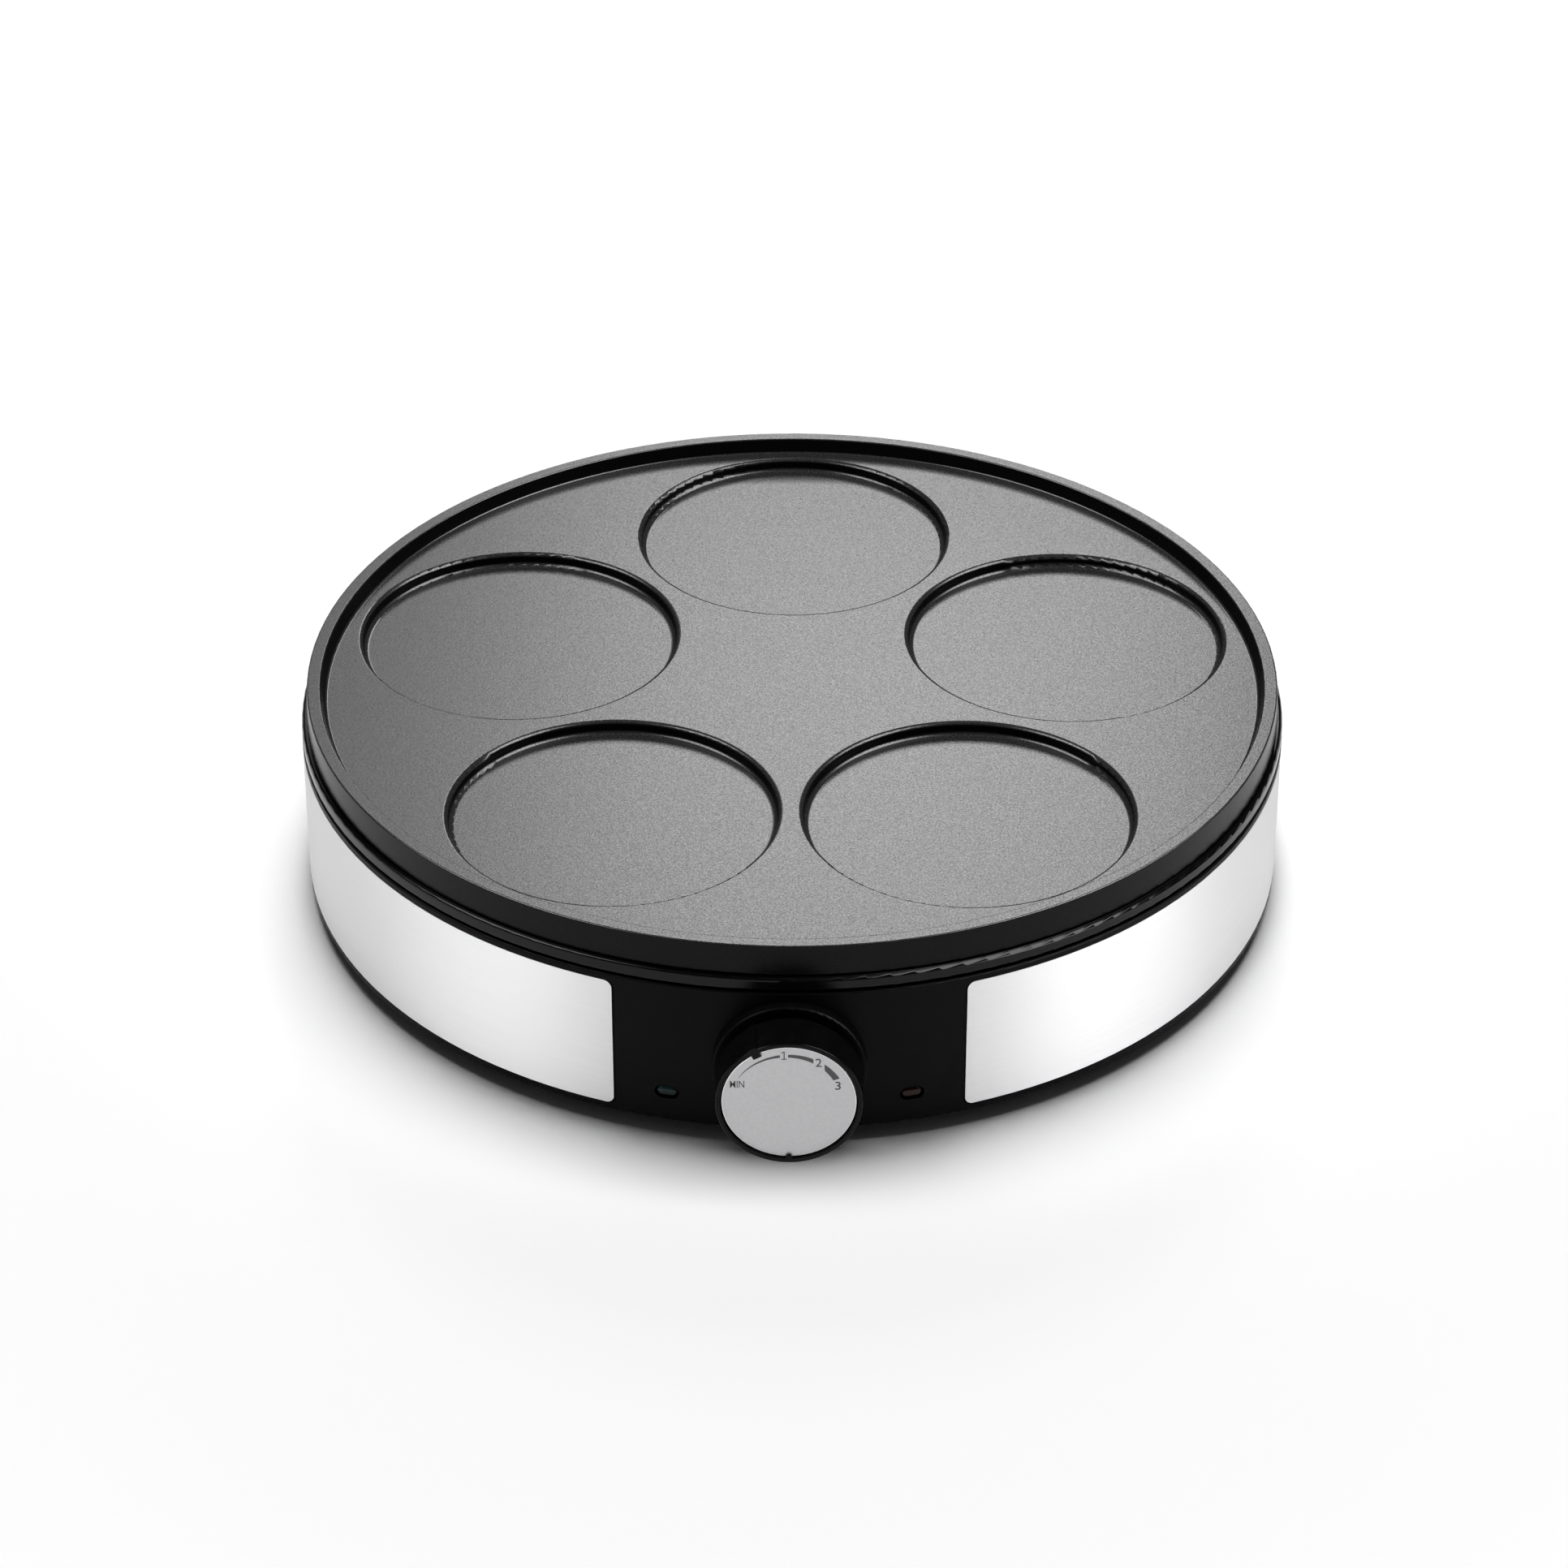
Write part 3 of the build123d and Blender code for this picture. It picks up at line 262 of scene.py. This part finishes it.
def gloss_phenolic():
    # Compression-moulded phenolic: deep glossy black with a faint waviness from the mould.
    material, tree, shader, place = start_finish("moulded_black_phenolic", Specular_IOR_Level=0.2)
    mottle(tree, shader, place.outputs["Object"], size_mm=6.0, bump_mm=0.004,
           colours=("#080808", "#0b0b0b"), roughness=(0.16, 0.22))
    return material


def satin_polyamide():
    # Injection-moulded polyamide: satin black, with the fine spark-eroded grain of its mould.
    material, tree, shader, place = start_finish("moulded_black_polyamide", Specular_IOR_Level=0.06)
    mottle(tree, shader, place.outputs["Object"], size_mm=0.5, bump_mm=0.004,
           colours=("#0a0a0a", "#0e0e0e"), roughness=(0.32, 0.42))
    return material


def knob_phenolic():
    # Polished phenolic of the knob: black, smooth, with sharp highlights along its edges.
    material, tree, shader, place = start_finish("polished_black_phenolic", Specular_IOR_Level=0.12)
    mottle(tree, shader, place.outputs["Object"], size_mm=3.0, bump_mm=0.002,
           colours=("#070707", "#0a0a0a"), roughness=(0.18, 0.24))
    return material


def brushed_stainless():
    # Stainless sheet brushed along its length: fine lines round the body, which draw its highlights
    # out upright.
    material, tree, shader, place = start_finish("brushed_stainless_sheet", Metallic=1.0, Anisotropic=0.9)
    parts = add(tree, "ShaderNodeSeparateXYZ", {"Vector": place.outputs["Object"]})
    angle = add(tree, "ShaderNodeMath", {0: parts.outputs["Y"], 1: parts.outputs["X"]}, operation="ARCTAN2")
    around = add(tree, "ShaderNodeMath", {0: angle.outputs[0], 1: BRUSH_LENGTH}, operation="MULTIPLY")
    lines = add(tree, "ShaderNodeCombineXYZ", {"X": around.outputs[0], "Z": parts.outputs["Z"]})
    mottle(tree, shader, lines.outputs[0], size_mm=0.35, bump_mm=0.0003, detail=3.0,
           colours=("#e5e5e6", "#e9e9ea"), roughness=(0.42, 0.45))
    upright = add(tree, "ShaderNodeCombineXYZ", {"Z": 1.0})
    tree.links.new(upright.outputs[0], shader.inputs["Tangent"])
    return material


def dial_aluminium():
    # Satin anodised aluminium disc: even silver with a hardly visible grain. Its turned edge is smoother,
    # and is painted brighter as a highlight.
    material, tree, shader, place = start_finish("satin_anodised_aluminium", Metallic=1.0)
    colour, rough = mottle(tree, shader, place.outputs["Object"], size_mm=0.8, bump_mm=0.001,
                           colours=("#bcbcbe", "#c4c4c5"), roughness=(0.4, 0.46))
    low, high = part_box("dial_disc")
    apart = add(tree, "ShaderNodeVectorMath", {
        0: place.outputs["Object"],
        1: (low + high) / 2,
    }, operation="SUBTRACT")
    flat = add(tree, "ShaderNodeVectorMath", {0: apart.outputs[0], 1: DIAL_PLANE}, operation="MULTIPLY")
    radius = add(tree, "ShaderNodeVectorMath", {0: flat.outputs[0]}, operation="LENGTH")
    # Painted highlight: a brighter ring at the rim, which is also made smoother
    edge_highlight_mask = add(tree, "ShaderNodeMapRange", {
        "Value": radius.outputs["Value"],
        "From Min": high.x - DIAL_EDGE_END_MM * MM,
        "From Max": high.x - DIAL_EDGE_FULL_MM * MM,
    }).outputs["Result"]
    tone_with_painted_light = add(tree, "ShaderNodeMix", {
        SHARE: edge_highlight_mask,
        COLOUR_LOW: colour,
        COLOUR_HIGH: linear(DIAL_EDGE_PAINTED_HIGHLIGHT),
    }, data_type="RGBA")
    tree.links.new(tone_with_painted_light.outputs[COLOUR_OUT], shader.inputs["Base Color"])
    polish = add(tree, "ShaderNodeMix", {SHARE: edge_highlight_mask, VALUE_LOW: rough, VALUE_HIGH: DIAL_EDGE_ROUGHNESS})
    tree.links.new(polish.outputs[VALUE_OUT], shader.inputs["Roughness"])
    return material


def dial_ink():
    # Screen-printed grey ink: matt, with slightly uneven cover.
    material, tree, shader, place = start_finish("grey_screen_print_ink", Specular_IOR_Level=0.3)
    mottle(tree, shader, place.outputs["Object"], size_mm=0.3, bump_mm=0.001,
           colours=("#5f5f60", "#6a6a6b"), roughness=(0.5, 0.6))
    return material


def tinted_lens(name, dark, light):
    # Tinted acrylic lens over an unlit neon lamp: dark, glossy, with its colour only just showing.
    # It is moulded with ribs along its length.
    material, tree, shader, place = start_finish(name, Specular_IOR_Level=0.25, IOR=1.49)
    ribs = add(tree, "ShaderNodeVectorMath", {
        0: place.outputs["Object"],
        1: RIB_STRETCH,
    }, operation="MULTIPLY")
    mottle(tree, shader, ribs.outputs[0], size_mm=0.9, bump_mm=0.02, detail=0.0,
           colours=(dark, light), roughness=(0.14, 0.2))
    return material


def moulded(name, colours, roughness, grain_mm=0.6, bump_mm=0.006, specular=0.4):
    """Moulded or extruded part: even colour with a fine grain."""
    material, tree, shader, place = start_finish(name, Specular_IOR_Level=specular)
    mottle(tree, shader, place.outputs["Object"], grain_mm, colours, roughness, bump_mm)
    return material


def bare_metal(name, colours, roughness, grain_mm=1.5, bump_mm=0.004):
    """Metal part: its colour a little uneven from rolling, plating or heat."""
    material, tree, shader, place = start_finish(name, Metallic=1.0)
    mottle(tree, shader, place.outputs["Object"], grain_mm, colours, roughness, bump_mm, detail=4.0)
    return material


def earth_stripes():
    # Extruded insulation in two colours: green with yellow stripes.
    material, tree, shader, place = start_finish("green_and_yellow_insulation", Roughness=0.4)
    stripe = add(tree, "ShaderNodeTexWave", {
        "Vector": place.outputs["Object"],
        "Scale": 1 / (STRIPE_MM * MM),
        "Distortion": STRIPE_WAVER,
    }, bands_direction="Z")
    colour = add(tree, "ShaderNodeMix", {
        SHARE: stripe.outputs["Fac"],
        COLOUR_LOW: linear("#2c7a2e"),
        COLOUR_HIGH: linear("#d8c52a"),
    }, data_type="RGBA")
    tree.links.new(colour.outputs[COLOUR_OUT], shader.inputs["Base Color"])
    return material


def lamp_glass():
    # Blown glass of a small neon lamp, with the electrodes' warm grey behind it.
    material, tree, shader, place = start_finish("neon_lamp_glass", IOR=1.5, Transmission_Weight=0.6)
    mottle(tree, shader, place.outputs["Object"], size_mm=2.0, bump_mm=0.001,
           colours=("#c9b8a6", "#dccdbb"), roughness=(0.05, 0.1))
    return material


FINISHES = {
    "nonstick_plate": nonstick_coat(),
    "trim_phenolic": gloss_phenolic(),
    "shell_plastic": satin_polyamide(),
    "knob_plastic": knob_phenolic(),
    "band_steel": brushed_stainless(),
    "dial_foil": dial_aluminium(),
    "green_acrylic": tinted_lens("green_acrylic_lens", "#061413", "#1b413e"),
    "red_acrylic": tinted_lens("red_acrylic_lens", "#140404", "#3c0e0a"),
    "lamp_glass": lamp_glass(),
    "wire_earth": earth_stripes(),
    # Paint sprayed on sheet steel: black and half matt, with a slight orange peel
    "base_paint": moulded(
        "black_painted_steel", ("#151515", "#1c1c1c"), (0.4, 0.5), grain_mm=1.2, bump_mm=0.02),
    # Moulded rubber: dull black, almost without highlights
    "foot_rubber": moulded(
        "moulded_black_rubber", ("#131313", "#1a1a1a"), (0.65, 0.8),
        grain_mm=0.4, bump_mm=0.02, specular=0.2),
    # Pressed and fired steatite: cream white and matt
    "ceramic": moulded(
        "unglazed_steatite", ("#d9d3c4", "#e6e1d4"), (0.55, 0.7), grain_mm=0.5, bump_mm=0.01),
    # Moulded silicone rubber: brick red with a dull sheen
    "silicone": moulded("red_silicone_rubber", ("#97372c", "#a84438"), (0.5, 0.6)),
    # Moulded polyamide: off-white and half matt
    "holder_plastic": moulded("white_polyamide", ("#cfcfcb", "#dbdbd8"), (0.45, 0.55)),
    # Moulded polyamide with a fine grain: black and half matt
    "gland_plastic": moulded(
        "black_polyamide_gland", ("#121212", "#181818"), (0.4, 0.52),
        grain_mm=0.5, bump_mm=0.008, specular=0.3),
    # Extruded insulation: one even colour with a soft sheen
    "wire_brown": moulded("brown_insulation", ("#5f3d28", "#6f4a33"), (0.4, 0.5)),
    "wire_blue": moulded("blue_insulation", ("#274d96", "#3059a6"), (0.4, 0.5)),
    # Braided glass-fibre sleeve: white and dull, with its threads just showing
    "wire_white": moulded(
        "white_glass_fibre_sleeve", ("#cfcdc6", "#e4e2dc"), (0.7, 0.85), grain_mm=0.8, bump_mm=0.05),
    # Zinc-plated steel: light grey with soft highlights
    "screw_steel": bare_metal("zinc_plated_steel", ("#b4b6b8", "#c8cacb"), (0.28, 0.4)),
    # Steel sheet dipped in aluminium: pale and cloudy, with blurred reflections
    "pan_steel": bare_metal(
        "aluminised_steel_sheet", ("#b9babb", "#cfd0d0"), (0.32, 0.5), grain_mm=9.0, bump_mm=0.01),
    # Drawn steel tube that has been hot: brownish grey and uneven, with a weak shine
    "element_sheath": bare_metal(
        "heat_darkened_steel_sheath", ("#4a4440", "#6b625b"), (0.4, 0.55), grain_mm=5.0),
    # Rolled spring strip: mid grey with soft highlights
    "spring_steel": bare_metal("spring_steel_strip", ("#8d8f91", "#a3a5a6"), (0.3, 0.42)),
    # Turned brass: pale gold with soft highlights
    "brass_parts": bare_metal("turned_brass", ("#b9975a", "#cfae70"), (0.28, 0.4)),
    # Drawn copper tube: warm red-brown, a little dulled
    "copper_capillary": bare_metal("drawn_copper", ("#a8694a", "#c38463"), (0.3, 0.45)),
    # Pressed and plated steel: cool grey with blurred reflections
    "thermostat_case": bare_metal("plated_steel_case", ("#9d9fa0", "#b3b5b5"), (0.35, 0.5), grain_mm=4.0),
}


def dress_cad_nodes():
    """Gives every CAD node the finish of its slot."""
    for part in frame["record"]["subparts"]:
        mesh = nodes[part["node"]].data
        mesh.materials.clear()
        mesh.materials.append(FINISHES[part["material_slot"]])


def on_dial(across, up, out):
    """Point given in millimetres from the dial's centre, across, up and out of its face."""
    low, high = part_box("dial_disc")
    return Vector((across * MM, low.y - out * MM, (low.z + high.z) / 2 + up * MM))


def add_prism(mesh, outline):
    """Closed thin prism of print between the dial's face and the ink's surface."""
    front = [mesh.verts.new(on_dial(x, y, PRINT_PROUD_MM)) for x, y in outline]
    back = [mesh.verts.new(on_dial(x, y, -PRINT_SUNK_MM)) for x, y in outline]
    mesh.faces.new(front)
    mesh.faces.new(back[::-1])
    for i in range(len(outline)):
        j = (i + 1) % len(outline)
        mesh.faces.new((front[i], back[i], back[j], front[j]))


def at_clock(radius, angle):
    return radius * math.sin(math.radians(angle)), radius * math.cos(math.radians(angle))


def scale_inner(angle):
    """Inner radius of the scale, which thickens evenly from its start to its end."""
    share = (angle - SCALE_START) / (SCALE_END - SCALE_START)
    return SCALE_OUTER_MM - SCALE_THIN_MM - share * (SCALE_THICK_MM - SCALE_THIN_MM)


def scale_outline(outer_start, outer_end, inner_start, inner_end):
    steps = round((outer_end - outer_start) / SCALE_STEP)
    outline = []
    for i in range(steps + 1):
        angle = outer_end + (outer_start - outer_end) * i / steps
        outline.append(at_clock(SCALE_OUTER_MM, angle))
    for i in range(steps + 1):
        angle = inner_start + (inner_end - inner_start) * i / steps
        outline.append(at_clock(scale_inner(angle), angle))
    return outline


def add_mark(mesh, text, across, up, width, height):
    """One figure or word of the scale, as a thin mesh centred on its place."""
    curve = bpy.data.curves.new("mark", "FONT")
    curve.body = text
    curve.extrude = TEXT_EXTRUDE
    curve.offset = MARK_BOLDER
    letter = bpy.data.objects.new("mark", curve)
    scene.collection.objects.link(letter)
    flat = bpy.data.meshes.new_from_object(letter.evaluated_get(bpy.context.evaluated_depsgraph_get()))
    bpy.data.objects.remove(letter)
    xs = [v.co.x for v in flat.vertices]
    ys = [v.co.y for v in flat.vertices]
    wider = width / (max(xs) - min(xs))
    taller = height / (max(ys) - min(ys))
    for vertex in flat.vertices:
        x = across + (vertex.co.x - (max(xs) + min(xs)) / 2) * wider
        y = up + (vertex.co.y - (max(ys) + min(ys)) / 2) * taller
        out = PRINT_PROUD_MM if vertex.co.z > 0 else -PRINT_SUNK_MM
        vertex.co = on_dial(x, y, out)
    mesh.from_mesh(flat)
    bpy.data.meshes.remove(flat)


def dial_print():
    mesh = bmesh.new()
    for stretch in SCALE_STRETCHES:
        add_prism(mesh, scale_outline(*stretch))
    for mark in MARKS_MM:
        add_mark(mesh, *mark)
    add_prism(mesh, [(ONE_MIDDLE_MM[0] + x, ONE_MIDDLE_MM[1] + y) for x, y in ONE_OUTLINE_MM])
    bmesh.ops.remove_doubles(mesh, verts=mesh.verts, dist=MERGE_MM * MM)
    bmesh.ops.recalc_face_normals(mesh, faces=mesh.faces)
    data = bpy.data.meshes.new("dial_print")
    mesh.to_mesh(data)
    mesh.free()
    data.materials.append(dial_ink())
    piece = bpy.data.objects.new("dial_print", data)
    scene.collection.objects.link(piece)
    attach(piece, "base")
    return piece


def lighten_below_knob(*pieces):
    """Leaves the body's soft shadow as the only one on the floor in front."""
    for piece in pieces:
        piece.visible_shadow = False


def white_floor():
    # Matt white paper. Away from the object it is white to the eye, near it only its shadow shows.
    mesh = bpy.data.meshes.new("floor")
    corners = [(-FLOOR_HALF, -FLOOR_HALF, 0), (FLOOR_HALF, -FLOOR_HALF, 0),
               (FLOOR_HALF, FLOOR_HALF, 0), (-FLOOR_HALF, FLOOR_HALF, 0)]
    mesh.from_pydata(corners, [], [(0, 1, 2, 3)])
    material, tree, shader, place = start_finish("white_paper", Roughness=1.0, Specular_IOR_Level=0.0)
    shader.inputs["Base Color"].default_value = linear("#fdfdfd")
    shader.inputs["Emission Color"].default_value = linear("#ffffff")
    far = add(tree, "ShaderNodeVectorMath", {0: place.outputs["Object"]}, operation="LENGTH")
    glow = add(tree, "ShaderNodeMapRange", {
        "Value": far.outputs["Value"],
        "From Min": GLOW_START,
        "From Max": GLOW_FULL,
        "To Max": GLOW,
    }, interpolation_type="SMOOTHSTEP")
    ray = add(tree, "ShaderNodeLightPath")
    seen = add(tree, "ShaderNodeMath", {
        0: ray.outputs["Is Camera Ray"],
        1: ray.outputs["Is Glossy Ray"],
    }, operation="MAXIMUM")
    seen = add(tree, "ShaderNodeMath", {
        0: seen.outputs[0],
        1: ray.outputs["Is Transmission Ray"],
    }, operation="MAXIMUM")
    strength = add(tree, "ShaderNodeMath", {
        0: glow.outputs["Result"],
        1: seen.outputs[0],
    }, operation="MULTIPLY")
    tree.links.new(strength.outputs[0], shader.inputs["Emission Strength"])
    mesh.materials.append(material)
    floor = bpy.data.objects.new("floor", mesh)
    scene.collection.objects.link(floor)
    return floor


def softbox(name, bearing, elevation, distance, size, radiance, diffuse=True, glossy=True):
    """Soft light aimed at the plate, at a bearing in degrees from the back towards the right.
    Its size is its width and height. It can light matt surfaces, show in shiny ones, or both."""
    target = Vector((0, 0, cad_high.z))
    flat = distance * math.cos(math.radians(elevation))
    offset = Vector((
        flat * math.sin(math.radians(bearing)),
        flat * math.cos(math.radians(bearing)),
        distance * math.sin(math.radians(elevation)),
    ))
    light = bpy.data.lights.new(name, "AREA")
    light.shape = "RECTANGLE"
    light.size, light.size_y = size
    light.energy = radiance * math.pi * size[0] * size[1]
    lamp = bpy.data.objects.new(name, light)
    lamp.location = target + offset
    lamp.rotation_mode = "QUATERNION"
    lamp.rotation_quaternion = (-offset).to_track_quat("-Z", "Y")
    lamp.visible_camera = False
    lamp.visible_diffuse = diffuse
    lamp.visible_glossy = glossy
    scene.collection.objects.link(lamp)
    return lamp


def studio_light():
    """A softbox overhead lights the floor, two behind give the plate its sheen, and one at each side
    shows in the steel and along the edges."""
    softbox("top_softbox", bearing=8, elevation=78, distance=4.0,
            size=(3.0, 2.0), radiance=8.8, glossy=False)
    softbox("back_softbox", bearing=2.0, elevation=34.2, distance=4.0,
            size=(0.86, 1.1), radiance=6.6)
    softbox("back_left_softbox", bearing=-13.5, elevation=34.2, distance=4.0,
            size=(0.9, 1.1), radiance=1.4)
    softbox("right_softbox", bearing=98, elevation=48, distance=3.2,
            size=(2.3, 2.3), radiance=8.8, diffuse=False)
    softbox("left_softbox", bearing=-103, elevation=46, distance=3.2,
            size=(2.3, 1.6), radiance=7.6, diffuse=False)
    world = bpy.data.worlds.new("studio")
    world.use_nodes = True
    world.node_tree.nodes["Background"].inputs["Color"].default_value = linear("#ffffff")
    world.node_tree.nodes["Background"].inputs["Strength"].default_value = WORLD_FILL
    scene.world = world


def set_camera():
    data = bpy.data.cameras.new("camera")
    data.lens = CAMERA_LENS_MM
    data.sensor_width = SENSOR_MM
    camera = bpy.data.objects.new("camera", data)
    camera.location = CAMERA_PLACE
    camera.rotation_mode = "QUATERNION"
    camera.rotation_quaternion = (Vector(CAMERA_TARGET) - Vector(CAMERA_PLACE)).to_track_quat("-Z", "Y")
    scene.collection.objects.link(camera)
    scene.camera = camera


dress_cad_nodes()
lighten_below_knob(dial_print(), *(nodes[name] for name in KNOB_NODES))
white_floor()
studio_light()
set_camera()
scene.view_settings.view_transform = "Standard"
